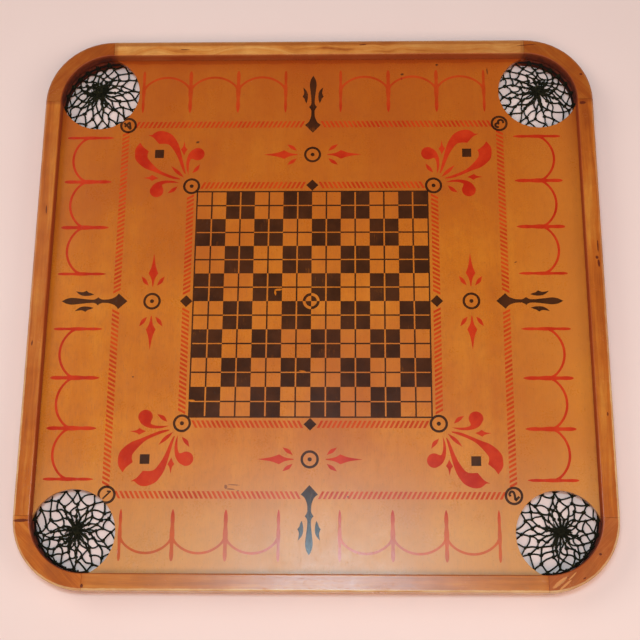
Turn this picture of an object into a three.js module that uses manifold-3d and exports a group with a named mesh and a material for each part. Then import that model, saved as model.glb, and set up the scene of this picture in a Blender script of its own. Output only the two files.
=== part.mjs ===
// A square carrom board: a thin game panel held in a grooved hardwood rim, with a string net pocket
// under each corner. Millimetres, +Z up. The origin is the centre of the rim's underside, so the board
// stands on Z = 0 with its play side up.
import * as THREE from "three";
import { mergeVertices } from "three/addons/utils/BufferGeometryUtils.js";
import Module from "manifold-3d";

const wasm = await Module();
wasm.setup();

// ---- Driving dimensions ----
const BOARD = 728; // overall width and depth
const RIM_WIDTH = 20.5;
const RIM_HEIGHT = 36;
const CORNER_RADIUS = 88; // outer radius of the rim's corners
const OUTER_ROUND = 2; // rounding of the rim's outer edges
const INNER_ROUND = 1.6; // rounding of the rim's inner edges
const PANEL_THICKNESS = 6;
const GROOVE_DEPTH = 6; // how far the panel enters the rim
const FIT = 0.3; // clearance between pieces that touch
const POCKET_PLACE = 294.5; // X and Y of a pocket's centre
const POCKET_RADIUS = 53;
const SPLINE = { length: 32, thickness: 5, height: 20, inset: 7 };
const BRAD = { radius: 0.9, length: 12, fromJoint: 9, sunk: 0.6, z: 11.5 };
const WIRE_RADIUS = 1.2; // of the hoop that a net hangs from
const HOOP_OVERLAP = 5; // how far outside the panel's hole the hoop runs
const HOOP_ENDS = { angle: 150, apart: 1.5 }; // where the bent wire's two ends meet, in degrees
const STAPLE = { wire: 1.1, halfWidth: 3, bite: 4.5, angles: [120, 180, 240] };
const HOOP_NAIL = { radius: 0.8, out: 3, bite: 7 };
const NET = { wall: 2, floor: 0.6, top: 9.4, taper: 12, wallGap: 1.6 };

const ARC_STEPS = 14; // facets in a quarter circle of the rim
const EDGE_STEPS = 2; // pairs of facets in a rounded edge
const POCKET_STEPS = 60; // facets round a pocket's hole
const NET_STEPS = 28;
const HOOP_STEPS = 36;
const WIRE_SIDES = 6;
const WELD = 1e-4; // points closer than this are one point

// ---- Places worked out from them ----
const HALF = BOARD / 2;
const WALL = HALF - RIM_WIDTH; // inner face of a rail
const INNER_RADIUS = CORNER_RADIUS - RIM_WIDTH;
const JOINT = HALF - CORNER_RADIUS; // where a rail meets a corner block, and a corner arc's centre
const PANEL_BOTTOM = (RIM_HEIGHT - PANEL_THICKNESS) / 2;
const PANEL_TOP = PANEL_BOTTOM + PANEL_THICKNESS;
const PANEL_HALF = WALL + GROOVE_DEPTH - FIT;
const HOOP_Z = PANEL_BOTTOM - WIRE_RADIUS - FIT;
const HOOP_UNDERSIDE = HOOP_Z - WIRE_RADIUS - FIT;
const HOOP_RADIUS = POCKET_RADIUS + HOOP_OVERLAP;
const HOOP_GAP = WIRE_RADIUS + 2 * FIT; // from a wall to the middle of the hoop's wire
const QUARTER = Math.PI / 2;
const QUARTER_DEGREES = 90; // the same turn, for the solids' own rotate
const FULL_TURN = 4 * QUARTER;
const TO_CORNER = -QUARTER / 2; // direction from the front right pocket to its corner

const finish = (color, roughness, metalness = 0) =>
  new THREE.MeshStandardMaterial({ color, roughness, metalness });
const railWood = finish(0xb96a2c, 0.4);
const cornerWood = finish(0xb4611f, 0.42);
const panelVeneer = finish(0xc4762c, 0.35);
const splineWood = finish(0xa8743c, 0.7);
const steel = finish(0x4a4038, 0.45, 0.9);
const darkWire = finish(0x2c2a26, 0.5, 0.8);
const netString = finish(0x23281c, 0.9);

// ---- Solids ----
function solid(geometry) {
  const bare = new THREE.BufferGeometry();
  bare.setAttribute("position", geometry.getAttribute("position"));
  if (geometry.index) bare.setIndex(geometry.index);
  const merged = mergeVertices(bare, WELD);
  return new wasm.Manifold(
    new wasm.Mesh({
      numProp: 3,
      vertProperties: merged.attributes.position.array,
      triVerts: new Uint32Array(merged.index.array),
    }),
  );
}

function geometryOf(manifold) {
  const { numVert, vertProperties, triVerts } = manifold.getMesh();
  return new THREE.BufferGeometry()
    .setAttribute("position", new THREE.BufferAttribute(vertProperties.slice(0, numVert * 3), 3))
    .setIndex(new THREE.BufferAttribute(triVerts, 1));
}

const box = (size, centre) => solid(new THREE.BoxGeometry(...size).translate(...centre));

const prism = (shape, bottom, top, curveSegments = EDGE_STEPS) =>
  solid(
    new THREE.ExtrudeGeometry(shape, { depth: top - bottom, bevelEnabled: false, curveSegments })
      .translate(0, 0, bottom),
  );

// A round bar along +Y that starts at y.
const barAlongY = (radius, length, x, y, z, sides = WIRE_SIDES) =>
  solid(new THREE.CylinderGeometry(radius, radius, length, sides).translate(x, y + length / 2, z));

// ---- The rim's section: x runs inwards from the rim's outer face, y is height ----
function rimSection() {
  const inner = RIM_WIDTH - INNER_ROUND;
  const grooveEnd = RIM_WIDTH - GROOVE_DEPTH;
  const s = new THREE.Shape();
  s.moveTo(OUTER_ROUND, 0);
  s.lineTo(inner, 0);
  s.absarc(inner, INNER_ROUND, INNER_ROUND, -QUARTER, 0);
  s.lineTo(RIM_WIDTH, PANEL_BOTTOM - FIT);
  s.lineTo(grooveEnd, PANEL_BOTTOM - FIT);
  s.lineTo(grooveEnd, PANEL_TOP + FIT);
  s.lineTo(RIM_WIDTH, PANEL_TOP + FIT);
  s.lineTo(RIM_WIDTH, RIM_HEIGHT - INNER_ROUND);
  s.absarc(inner, RIM_HEIGHT - INNER_ROUND, INNER_ROUND, 0, QUARTER);
  s.lineTo(OUTER_ROUND, RIM_HEIGHT);
  s.absarc(OUTER_ROUND, RIM_HEIGHT - OUTER_ROUND, OUTER_ROUND, QUARTER, 2 * QUARTER);
  s.lineTo(0, OUTER_ROUND);
  s.absarc(OUTER_ROUND, OUTER_ROUND, OUTER_ROUND, 2 * QUARTER, 3 * QUARTER);
  return s;
}

// What a joint takes out of the two pieces that meet at it: the spline's slot, and a brad's hole on
// each side. The joint is at x = 0, and the rim's outer face at y = 0.
function jointCuts() {
  const slot = box(
    [SPLINE.length + 2 * FIT, SPLINE.thickness + 2 * FIT, SPLINE.height + 2 * FIT],
    [0, SPLINE.inset, RIM_HEIGHT / 2],
  );
  const depth = BRAD.sunk + BRAD.length + FIT;
  const hole = (x) => barAlongY(BRAD.radius + FIT, 2 * depth, x, -depth, BRAD.z);
  return slot.add(hole(BRAD.fromJoint)).add(hole(-BRAD.fromJoint));
}

// ---- Rim pieces, made for the front side (-Y) and the front right corner ----
function railSolid() {
  const length = 2 * JOINT - FIT;
  const bar = new THREE.ExtrudeGeometry(rimSection(), {
    depth: length,
    bevelEnabled: false,
    curveSegments: EDGE_STEPS,
  });
  const inwards = new THREE.Vector3(0, 1, 0);
  const up = new THREE.Vector3(0, 0, 1);
  const along = new THREE.Vector3(1, 0, 0);
  bar.applyMatrix4(new THREE.Matrix4().makeBasis(inwards, up, along));
  const cuts = jointCuts();
  return solid(bar.translate(-length / 2, -HALF, 0))
    .subtract(cuts.translate([JOINT, -HALF, 0]))
    .subtract(cuts.translate([-JOINT, -HALF, 0]));
}

function cornerSolid() {
  const profile = rimSection().getPoints(EDGE_STEPS);
  const radial = profile.map((p) => new THREE.Vector2(CORNER_RADIUS - p.x, p.y)).reverse();
  const last = radial[radial.length - 1];
  if (!radial[0].equals(last)) radial.push(radial[0].clone());
  const ring = new THREE.LatheGeometry(radial, ARC_STEPS * 4)
    .rotateX(QUARTER)
    .translate(JOINT, -JOINT, 0);
  const start = JOINT + FIT / 2;
  const quadrant = box([BOARD, BOARD, BOARD], [start + HALF, -start - HALF, 0]);
  const cuts = jointCuts();
  return solid(ring)
    .intersect(quadrant)
    .subtract(cuts.translate([JOINT, -HALF, 0]))
    .subtract(cuts.rotate([0, 0, QUARTER_DEGREES]).translate([HALF, -JOINT, 0]))
    .subtract(hoopNail(FIT));
}

function splineSolid(joint) {
  const middle = SPLINE.inset - HALF;
  const start = middle - SPLINE.thickness;
  const hole = (x) => barAlongY(BRAD.radius + FIT, 2 * SPLINE.thickness, x, start, BRAD.z);
  return box([SPLINE.length, SPLINE.thickness, SPLINE.height], [joint, middle, RIM_HEIGHT / 2])
    .subtract(hole(joint + BRAD.fromJoint))
    .subtract(hole(joint - BRAD.fromJoint));
}

const bradSolid = (x) => barAlongY(BRAD.radius, BRAD.length, x, BRAD.sunk - HALF, BRAD.z);

// ---- The pocket's outline, about the front right corner ----
// Distance from the pocket's centre, in a direction, to the nearest of a circle about that centre,
// the rails' inner faces and the corner's inner arc, with the walls moved in by an inset.
function pocketReach(direction, circle, inset) {
  const dx = Math.cos(direction);
  const dy = Math.sin(direction);
  const face = WALL - inset - POCKET_PLACE;
  const reaches = [circle];
  if (dx > 0) reaches.push(face / dx);
  if (dy < 0) reaches.push(-face / dy);
  const offset = POCKET_PLACE - JOINT;
  const along = offset * (dx - dy);
  const toArc = Math.sqrt(along ** 2 - 2 * offset ** 2 + (INNER_RADIUS - inset) ** 2) - along;
  const onCornerBlock = offset + toArc * dx > 0 && offset - toArc * dy > 0;
  if (onCornerBlock) reaches.push(toArc);
  return Math.min(...reaches);
}

// Points round the pocket between two angles, counted from the direction of the corner.
function pocketPoints(circle, inset, count, from = 0, to = FULL_TURN) {
  return Array.from({ length: count }, (_, i) => {
    const direction = TO_CORNER + from + ((to - from) * i) / count;
    const reach = pocketReach(direction, circle, inset);
    const x = POCKET_PLACE + reach * Math.cos(direction);
    const y = -POCKET_PLACE + reach * Math.sin(direction);
    return new THREE.Vector2(x, y);
  });
}

// ---- The pocket's pieces ----
function hoopSolid() {
  const from = THREE.MathUtils.degToRad(HOOP_ENDS.angle + HOOP_ENDS.apart / 2);
  const to = from + FULL_TURN - THREE.MathUtils.degToRad(HOOP_ENDS.apart);
  const route = pocketPoints(HOOP_RADIUS, HOOP_GAP, HOOP_STEPS, from, to);
  const curve = new THREE.CatmullRomCurve3(route.map((p) => new THREE.Vector3(p.x, p.y, HOOP_Z)));
  const section = Array.from({ length: WIRE_SIDES }, (_, i) =>
    new THREE.Vector2(WIRE_RADIUS, 0).rotateAround(new THREE.Vector2(), (i / WIRE_SIDES) * FULL_TURN),
  );
  return solid(
    new THREE.ExtrudeGeometry(new THREE.Shape(section), {
      steps: HOOP_STEPS,
      extrudePath: curve,
    }),
  );
}

// The net as a shallow dish that hangs from the hoop, with a flat bottom just clear of whatever the
// board stands on.
function netSolid() {
  const dish = (grow, bottom, top) => {
    const outline = new THREE.Shape(pocketPoints(HOOP_RADIUS, NET.wallGap + grow, NET_STEPS));
    const rim = HOOP_RADIUS - grow;
    const cone = new THREE.CylinderGeometry(rim, rim - NET.taper, top - bottom, NET_STEPS)
      .rotateX(QUARTER)
      .translate(POCKET_PLACE, -POCKET_PLACE, (top + bottom) / 2);
    return prism(outline, bottom, top).intersect(solid(cone));
  };
  const open = NET.top + NET.wall;
  return dish(0, NET.floor, NET.top).subtract(dish(NET.wall, NET.floor + NET.wall, open));
}

// A staple over the hoop, driven up into the panel, at an angle from the direction of the corner.
// Grown, it is the hole that it makes.
function stapleSolid(angle, grow = 0) {
  const outer = STAPLE.halfWidth + STAPLE.wire / 2 + grow;
  const inner = STAPLE.halfWidth - STAPLE.wire / 2 - grow;
  const crown = -STAPLE.wire - grow;
  const tip = PANEL_BOTTOM + STAPLE.bite - HOOP_UNDERSIDE + grow;
  const s = new THREE.Shape();
  s.moveTo(crown, -outer);
  s.lineTo(tip, -outer);
  s.lineTo(tip, -inner);
  s.lineTo(grow, -inner);
  s.lineTo(grow, inner);
  s.lineTo(tip, inner);
  s.lineTo(tip, outer);
  s.lineTo(crown, outer);
  const thickness = STAPLE.wire + 2 * grow;
  const direction = THREE.MathUtils.degToRad(angle) + TO_CORNER;
  return solid(
    new THREE.ExtrudeGeometry(s, { depth: thickness, bevelEnabled: false })
      .translate(0, 0, -thickness / 2)
      .rotateY(-QUARTER)
      .rotateZ(direction + QUARTER)
      .translate(
        POCKET_PLACE + HOOP_RADIUS * Math.cos(direction),
        -POCKET_PLACE + HOOP_RADIUS * Math.sin(direction),
        HOOP_UNDERSIDE,
      ),
  );
}

// The nail in the corner block that the hoop rests on. Grown, it is the hole that it makes.
function hoopNail(grow = 0) {
  const length = HOOP_NAIL.out + HOOP_NAIL.bite + grow;
  const radius = HOOP_NAIL.radius + grow;
  return barAlongY(radius, length, 0, INNER_RADIUS - HOOP_NAIL.out, HOOP_UNDERSIDE - HOOP_NAIL.radius)
    .rotate([0, 0, -1.5 * QUARTER_DEGREES])
    .translate([JOINT, -JOINT, 0]);
}

// ---- The panel: a rounded square with a round bite out of each corner ----
function panelSolid() {
  const radius = PANEL_HALF - JOINT;
  const outline = new THREE.Shape();
  outline.absarc(JOINT, -JOINT, radius, -QUARTER, 0);
  outline.absarc(JOINT, JOINT, radius, 0, QUARTER);
  outline.absarc(-JOINT, JOINT, radius, QUARTER, 2 * QUARTER);
  outline.absarc(-JOINT, -JOINT, radius, 2 * QUARTER, 3 * QUARTER);
  const bite = solid(
    new THREE.CylinderGeometry(POCKET_RADIUS, POCKET_RADIUS, 2 * RIM_HEIGHT, POCKET_STEPS)
      .rotateX(QUARTER)
      .translate(POCKET_PLACE, -POCKET_PLACE, 0),
  );
  const cuts = STAPLE.angles.reduce((sum, angle) => sum.add(stapleSolid(angle, FIT)), bite);
  let panel = prism(outline, PANEL_BOTTOM, PANEL_TOP, ARC_STEPS);
  for (let angle = 0; angle < 4 * QUARTER_DEGREES; angle += QUARTER_DEGREES)
    panel = panel.subtract(cuts.rotate([0, 0, angle]));
  return panel;
}

// ---- Assembly ----
const board = new THREE.Group();

function add(parent, name, manifold, look) {
  const mesh = new THREE.Mesh(geometryOf(manifold), look);
  mesh.name = name;
  parent.add(mesh);
}

add(board, "game_panel", panelSolid(), panelVeneer);

const rail = railSolid();
const block = cornerSolid();
const hoop = hoopSolid();
const net = netSolid();
const sides = ["front", "right", "back", "left"];
const corners = ["front_right", "back_right", "back_left", "front_left"];

for (let turn = 0; turn < sides.length; turn++) {
  const quarter = new THREE.Group();
  quarter.rotation.z = turn * QUARTER;
  board.add(quarter);

  const side = sides[turn];
  add(quarter, `rail_${side}`, rail, railWood);
  for (const [end, joint] of [["a", -JOINT], ["b", JOINT]]) {
    add(quarter, `spline_${side}_${end}`, splineSolid(joint), splineWood);
    add(quarter, `brad_${side}_${end}1`, bradSolid(joint - BRAD.fromJoint), steel);
    add(quarter, `brad_${side}_${end}2`, bradSolid(joint + BRAD.fromJoint), steel);
  }

  const corner = corners[turn];
  add(quarter, `corner_block_${corner}`, block, cornerWood);
  add(quarter, `net_hoop_${corner}`, hoop, darkWire);
  add(quarter, `hoop_nail_${corner}`, hoopNail(), steel);
  STAPLE.angles.forEach((angle, i) => {
    add(quarter, `hoop_staple_${corner}_${i + 1}`, stapleSolid(angle), steel);
  });
  add(quarter, `pocket_net_${corner}`, net, netString);
}

export default board;
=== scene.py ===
"""A worn carrom board: a printed veneer panel in a raised maple rim, with four knotted string nets."""
import math

import bmesh
import bpy
import numpy as np
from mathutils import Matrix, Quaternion, Vector


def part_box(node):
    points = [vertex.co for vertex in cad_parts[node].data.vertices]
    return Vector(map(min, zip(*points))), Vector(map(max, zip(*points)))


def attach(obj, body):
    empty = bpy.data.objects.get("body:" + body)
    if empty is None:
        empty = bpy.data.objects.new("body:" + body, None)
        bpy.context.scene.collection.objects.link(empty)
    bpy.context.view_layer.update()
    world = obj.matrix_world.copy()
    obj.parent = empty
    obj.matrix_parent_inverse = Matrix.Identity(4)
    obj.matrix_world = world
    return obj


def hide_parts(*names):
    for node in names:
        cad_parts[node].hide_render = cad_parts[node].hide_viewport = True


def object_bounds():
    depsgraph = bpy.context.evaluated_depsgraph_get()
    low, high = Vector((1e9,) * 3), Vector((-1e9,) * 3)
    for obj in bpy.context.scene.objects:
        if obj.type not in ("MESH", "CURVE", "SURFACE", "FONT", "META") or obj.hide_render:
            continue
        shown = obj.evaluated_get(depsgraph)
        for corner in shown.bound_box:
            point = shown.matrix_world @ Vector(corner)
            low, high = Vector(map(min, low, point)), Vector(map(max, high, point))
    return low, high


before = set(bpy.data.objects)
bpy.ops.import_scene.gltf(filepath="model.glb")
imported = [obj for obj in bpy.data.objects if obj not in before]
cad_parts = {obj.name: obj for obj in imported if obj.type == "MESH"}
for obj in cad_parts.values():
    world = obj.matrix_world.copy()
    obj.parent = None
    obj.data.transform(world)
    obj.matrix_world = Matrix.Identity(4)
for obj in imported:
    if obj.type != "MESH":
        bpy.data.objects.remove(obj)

MM = 0.001
CAD_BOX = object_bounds()

# ---- Places worked out from the frame, in metres ----
PANEL_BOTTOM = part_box("game_panel")[0].z
PANEL_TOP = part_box("game_panel")[1].z
RIM_TOP = CAD_BOX[1].z
BOARD_HALF = CAD_BOX[1].x
WALL = -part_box("rail_front")[1].y
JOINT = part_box("rail_front")[1].x
CORNER_RADIUS = BOARD_HALF - JOINT
WALL_RADIUS = WALL - JOINT
CORNERS = {"front_right": (1, -1), "back_right": (1, 1), "back_left": (-1, 1), "front_left": (-1, -1)}

# ---- Driving sizes of what is added, in metres ----
POCKET_PLACE = 0.2945
POCKET_RADIUS = 0.053
INK_HEIGHT = 0.00004
STRING_RADIUS = 0.00104
HOOP_WIRE_RADIUS = 0.0012
FLOOR_GAP = 0.0002  # no string comes nearer to the floor than this
PRINT_SHIFT = (-6.9, -0.3)  # the print sits this far off the board's centre, in millimetres


# ======== Materials ========
class Shader:
    """Short names for building one material's nodes."""

    def __init__(self, name):
        self.material = bpy.data.materials.new(name)
        self.material.use_nodes = True
        self.tree = self.material.node_tree
        self.tree.nodes.clear()

    def feed(self, socket, value):
        if isinstance(value, bpy.types.NodeSocket):
            self.tree.links.new(value, socket)
        elif value is not None:
            socket.default_value = value

    def node(self, kind, values=None, **settings):
        made = self.tree.nodes.new("ShaderNode" + kind)
        for key, value in settings.items():
            setattr(made, key, value)
        for key, value in (values or {}).items():
            self.feed(made.inputs[key], value)
        return made

    def math(self, operation, a, b=None, c=None):
        return self.node("Math", {0: a, 1: b, 2: c}, operation=operation).outputs[0]

    def vector(self, operation, a, b=None):
        made = self.node("VectorMath", {0: a, 1: b}, operation=operation)
        return made.outputs["Value" if operation in ("LENGTH", "DOT_PRODUCT") else "Vector"]

    def split(self, vector):
        return self.node("SeparateXYZ", {0: vector}).outputs

    def join(self, x, y, z=0.0):
        return self.node("CombineXYZ", {0: x, 1: y, 2: z}).outputs[0]

    def ease(self, value, low, high, start=0.0, end=1.0):
        """Goes smoothly from start to end as the value goes from low to high."""
        values = {"Value": value, "From Min": low, "From Max": high, "To Min": start, "To Max": end}
        return self.node("MapRange", values, interpolation_type="SMOOTHSTEP").outputs[0]

    def noise(self, place, scale, detail=3.0, rough=0.55, bend=0.0):
        values = {"Vector": place, "Scale": scale, "Detail": detail, "Roughness": rough, "Distortion": bend}
        return self.node("TexNoise", values).outputs[0]

    def mix(self, factor, a, b, blend="MIX"):
        made = self.node("Mix", {0: factor, 6: a, 7: b}, data_type="RGBA", blend_type=blend)
        return made.outputs[2]

    def ramp(self, value, *stops):
        made = self.node("ValToRGB", {0: value})
        elements = made.color_ramp.elements
        while len(elements) < len(stops):
            elements.new(0.5)
        for element, (place, colour) in zip(elements, stops):
            element.position = place
            element.color = (*colour, 1.0)
        return made.outputs[0]

    def place(self):
        return self.node("NewGeometry").outputs["Position"]

    def finish(self, colour, roughness, height, bump=1.0, **constants):
        """Joins up the surface. The height is in metres, and the other numbers are the shader's own."""
        values = {"Base Color": colour, "Roughness": roughness}
        values.update({key.replace("_", " "): value for key, value in constants.items()})
        shader = self.node("BsdfPrincipled", values)
        relief = self.node("Bump", {"Strength": bump, "Distance": 1.0, "Height": height})
        self.feed(shader.inputs["Normal"], relief.outputs[0])
        output = self.node("OutputMaterial")
        self.feed(output.inputs["Surface"], shader.outputs[0])
        return self.material


def rgb(red, green, blue):
    """A linear colour from one given as it looks, 0 to 255."""
    return tuple(((c / 255) / 12.92) if c < 11 else (((c / 255) + 0.055) / 1.055) ** 2.4
                 for c in (red, green, blue))


def solid_colour(*seen):
    return (*rgb(*seen), 1.0)


def spot(sh, place, x, y, across, along, turn=0.0, ragged=0.35):
    """1 inside a ragged oval mark on the board, in millimetres, and 0 outside it."""
    wobble = sh.noise(place, 900.0, 2.0)
    mapped = sh.node("Mapping", {
        "Vector": sh.vector("MULTIPLY", place, (1.0, 1.0, 0.0)),
        "Location": (x * MM, y * MM, 0.0),
        "Rotation": (0.0, 0.0, math.radians(turn)),
        "Scale": (across * MM, along * MM, 1.0),
    }, vector_type="TEXTURE").outputs[0]
    reach = sh.math("MULTIPLY_ADD", wobble, ragged * 2, sh.vector("LENGTH", mapped))
    return sh.ease(reach, 1.0 + ragged, 0.7 + ragged)


def rim_reach(sh, place):
    """Distance out from the arc centres and the lines between them: the same all along the rim."""
    x, y, _ = sh.split(sh.vector("ABSOLUTE", place))
    past_x = sh.math("MAXIMUM", sh.math("SUBTRACT", x, JOINT), 0.0)
    past_y = sh.math("MAXIMUM", sh.math("SUBTRACT", y, JOINT), 0.0)
    return sh.vector("LENGTH", sh.join(past_x, past_y))


def wood(sh, place, turn, offset, stops, streak=(7.0, 95.0), figure=0.0, streaky=0.62):
    """Varnished wood with its grain along a direction, in degrees from X. Gives a colour and a height."""
    along = sh.node("Mapping", {
        "Vector": place,
        "Location": offset,
        "Rotation": (0.0, 0.0, math.radians(-turn)),
    }).outputs[0]
    bent = sh.noise(along, 9.0, 2.0)
    wavy = sh.vector("ADD", along, sh.join(0.0, sh.math("MULTIPLY", bent, figure)))
    broad = sh.noise(sh.vector("MULTIPLY", wavy, (streak[0], streak[1], streak[1])), 1.0, 4.0, 0.6, 0.4)
    fibre = sh.noise(sh.vector("MULTIPLY", wavy, (45.0, 1500.0, 900.0)), 1.0, 3.0, 0.65)
    pore = sh.noise(sh.vector("MULTIPLY", wavy, (110.0, 2600.0, 1500.0)), 1.0, 2.0, 0.5)
    cloud = sh.noise(along, 11.0, 4.0, 0.62)
    tone = sh.math("MULTIPLY_ADD", broad, streaky, sh.math("MULTIPLY", cloud, 0.55))
    tone = sh.math("MULTIPLY_ADD", fibre, 0.26, sh.math("ADD", tone, 0.09 - streaky / 2))
    colour = sh.ramp(tone, *stops)
    pores = sh.ease(pore, 0.62, 0.72)
    colour = sh.mix(sh.math("MULTIPLY", pores, 0.35), colour, (0.16, 0.045, 0.01, 1.0))
    height = sh.math("MULTIPLY", sh.math("SUBTRACT", fibre, pores), 0.00002)
    return colour, height


PANEL_STOPS = ((0.2, rgb(178, 86, 12)), (0.5, rgb(204, 111, 18)), (0.82, rgb(224, 138, 34)))
RIM_STOPS = ((0.26, rgb(142, 58, 12)), (0.5, rgb(186, 94, 24)), (0.76, rgb(214, 134, 50)))
DARK_RIM_STOPS = ((0.26, rgb(130, 50, 12)), (0.5, rgb(168, 80, 26)), (0.76, rgb(192, 108, 46)))
LIGHT_RIM_STOPS = ((0.3, rgb(146, 58, 14)), (0.45, rgb(208, 126, 52)), (0.7, rgb(232, 168, 92)))
PANEL_ROUGHNESS = (0.26, 0.33)
INK_ROUGHNESS = (0.2, 0.25)
BLACK_INK = (rgb(40, 15, 3), rgb(66, 30, 9))
RED_INK = (rgb(180, 26, 4), rgb(204, 52, 16))
PALE_RED_INK = (rgb(184, 38, 4), rgb(206, 64, 12))
RIM_ROUGHNESS = (0.22, 0.28)
# Marks of wear on the play face: place, half sizes and turn, in millimetres and degrees.
PANEL_MARKS = (
    (160, 335, 2.2, 1.6, 0), (113, 321, 2.6, 1.8, 20), (112, 314.5, 1.6, 2.0, 0), (227.5, 325, 0.9, 6.0, 4),
    (40, -250, 1.2, 1.0, 0), (-230, -100, 1.4, 1.1, 0), (255, 52, 2.2, 0.8, 25), (-160, 222, 2.8, 1.6, 10),
)
PANEL_SMEARS = (
    (-99.4, -235.7, 8.0, 0.8, -4), (-103, -241, 6.0, 1.1, -6), (-109, -238.2, 2.2, 3.0, 10),
    (-94, -243, 1.3, 1.1, 0),
)
PANEL_CHIPS = (
    (-49, 15, 5.5, 1.6, 4), (-53, 11, 1.4, 4.2, 8), (-17, -92.5, 5.0, 0.8, -4), (-156, -130.4, 5.5, 1.3, 2),
)


def any_spot(sh, place, marks):
    """1 inside any of the marks and 0 outside all of them."""
    found = spot(sh, place, *marks[0])
    for mark in marks[1:]:
        found = sh.math("MAXIMUM", found, spot(sh, place, *mark))
    return found


def panel_wood(sh, place):
    """The panel's wood, with grime and painted shade along the walls, painted light by the right wall, and
    the marks of use.
    """
    colour, height = wood(sh, place, 90.0, (0.31, 0.12, 0.0), PANEL_STOPS, (2.6, 42.0), 0.004, 0.3)
    blotch = sh.noise(place, 5.0, 5.0, 0.6)
    colour = sh.mix(sh.ease(blotch, 0.42, 0.7, 0.0, 0.5), colour, solid_colour(178, 84, 22))
    mottle = sh.noise(sh.vector("MULTIPLY", place, (150.0, 90.0, 90.0)), 1.0, 4.0, 0.7)
    colour = sh.mix(sh.ease(mottle, 0.45, 0.7, 0.0, 0.3), colour, solid_colour(172, 92, 22))
    x, y, z = sh.split(place)
    # Painted light: the panel is lightened towards the right wall, over the shade that wall casts from the
    # right lamp.
    colour = sh.mix(sh.ease(x, 0.22, 0.34, 0.0, 0.4), colour, solid_colour(218, 136, 52))
    colour = sh.mix(sh.ease(y, -0.05, 0.36, 0.0, 0.6), colour, solid_colour(168, 68, 14))
    colour = sh.mix(sh.ease(y, -0.15, -0.36, 0.0, 0.36), colour, solid_colour(216, 176, 112))
    reach = rim_reach(sh, place)
    edge = sh.math("MULTIPLY_ADD", sh.noise(place, 60.0, 3.0), 0.006, reach)
    # Grime and painted shade: a dark line along the foot of every wall.
    colour = sh.mix(sh.ease(edge, WALL_RADIUS - 0.001, WALL_RADIUS + 0.0045, 0.0, 0.25), colour,
                    solid_colour(128, 42, 6))
    # Grime and painted shade: a wider dark band along the foot of the back wall.
    band = sh.math("MAXIMUM", sh.ease(edge, WALL_RADIUS - 0.02, WALL_RADIUS + 0.002, 0.0, 0.3),
                   sh.ease(edge, WALL_RADIUS - 0.0045, WALL_RADIUS - 0.0015, 0.0, 0.62))
    back_wall_grime_and_shade = sh.math("MULTIPLY", band, sh.ease(y, 0.2, 0.32))
    colour = sh.mix(back_wall_grime_and_shade, colour, solid_colour(146, 46, 12))
    dirt = any_spot(sh, place, PANEL_MARKS)
    on_face = sh.ease(z, PANEL_BOTTOM, PANEL_TOP, 0.0, 0.85)
    colour = sh.mix(sh.math("MULTIPLY", dirt, on_face), colour, solid_colour(70, 32, 12))
    smears = any_spot(sh, place, PANEL_SMEARS)
    colour = sh.mix(sh.math("MULTIPLY", smears, on_face), colour, solid_colour(134, 66, 14))
    speck = sh.ease(sh.noise(place, 420.0, 1.0), 0.735, 0.76)
    colour = sh.mix(sh.math("MULTIPLY", speck, 0.3), colour, solid_colour(110, 52, 14))
    return colour, height


def varnish_roughness(sh, place, low, high):
    smear = sh.noise(place, 26.0, 4.0, 0.6)
    grain = sh.noise(place, 380.0, 2.0)
    patches = sh.math("MULTIPLY_ADD", grain, 0.35, sh.math("MULTIPLY", smear, 0.65))
    return sh.ease(patches, 0.3, 0.7, low, high)


def panel_material():
    sh = Shader("panel_veneer")
    place = sh.place()
    colour, height = panel_wood(sh, place)
    return sh.finish(colour, varnish_roughness(sh, place, *PANEL_ROUGHNESS), height, Specular_IOR_Level=0.34)


def ink_material(name, dark, light, faded=0.04, faded_by_rails=0.0):
    """Printed ink: thin and worn, so that the wood shows through in specks and along the grain."""
    sh = Shader(name)
    place = sh.place()
    under, height = panel_wood(sh, place)
    ink = sh.mix(sh.ease(sh.noise(place, 34.0, 4.0), 0.3, 0.7), (*dark, 1.0), (*light, 1.0))
    grain = sh.noise(sh.vector("MULTIPLY", place, (1300.0, 60.0, 10.0)), 1.0, 3.0, 0.6)
    rubbed = sh.noise(place, 42.0, 5.0, 0.65)
    worn = sh.math("MULTIPLY_ADD", grain, 0.5, sh.math("MULTIPLY", rubbed, 0.7))
    worn = sh.ease(worn, 0.7, 0.92, faded, 0.6)
    by_rails = sh.ease(sh.math("ABSOLUTE", sh.split(place)[1]), 0.255, 0.29, 0.0, faded_by_rails)
    worn = sh.math("MAXIMUM", worn, by_rails)
    chips = any_spot(sh, place, PANEL_CHIPS)
    colour = sh.mix(sh.math("MAXIMUM", worn, chips), ink, under)
    return sh.finish(colour, varnish_roughness(sh, place, *INK_ROUGHNESS), height, Specular_IOR_Level=0.28)


# Marks on the rim, in the same form.
RIM_MARKS = (
    (-353.5, -281.8, 11.0, 2.2, 2), (-275, -358.5, 2.2, 2.8, 0), (350, 270, 5.0, 2.6, 2),
    (350, 312, 2.4, 1.6, 0), (338, -319, 2.0, 1.6, 0), (358, 45, 1.7, 6.0, 4), (356, 53, 2.2, 2.6, 0),
    (358, 68, 1.0, 9.0, 0), (-352, 120, 1.0, 7.0, 3), (-357, -60, 1.2, 4.0, -5), (60, 358, 6.0, 0.9, 3),
    (-180, 352, 7.5, 0.8, -3), (357, -150, 1.0, 3.0, 0), (293, -350.5, 0.7, 11.0, -51),
    (318, -347, 2.2, 0.8, 30), (280, 356, 16.0, 0.7, 5),
)
RIM_CHIPS = ((289, -352, 2.6, 13.0, -52), (295, -355, 1.6, 11.0, -50), (304, -344.5, 1.0, 8.0, -46))


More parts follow.
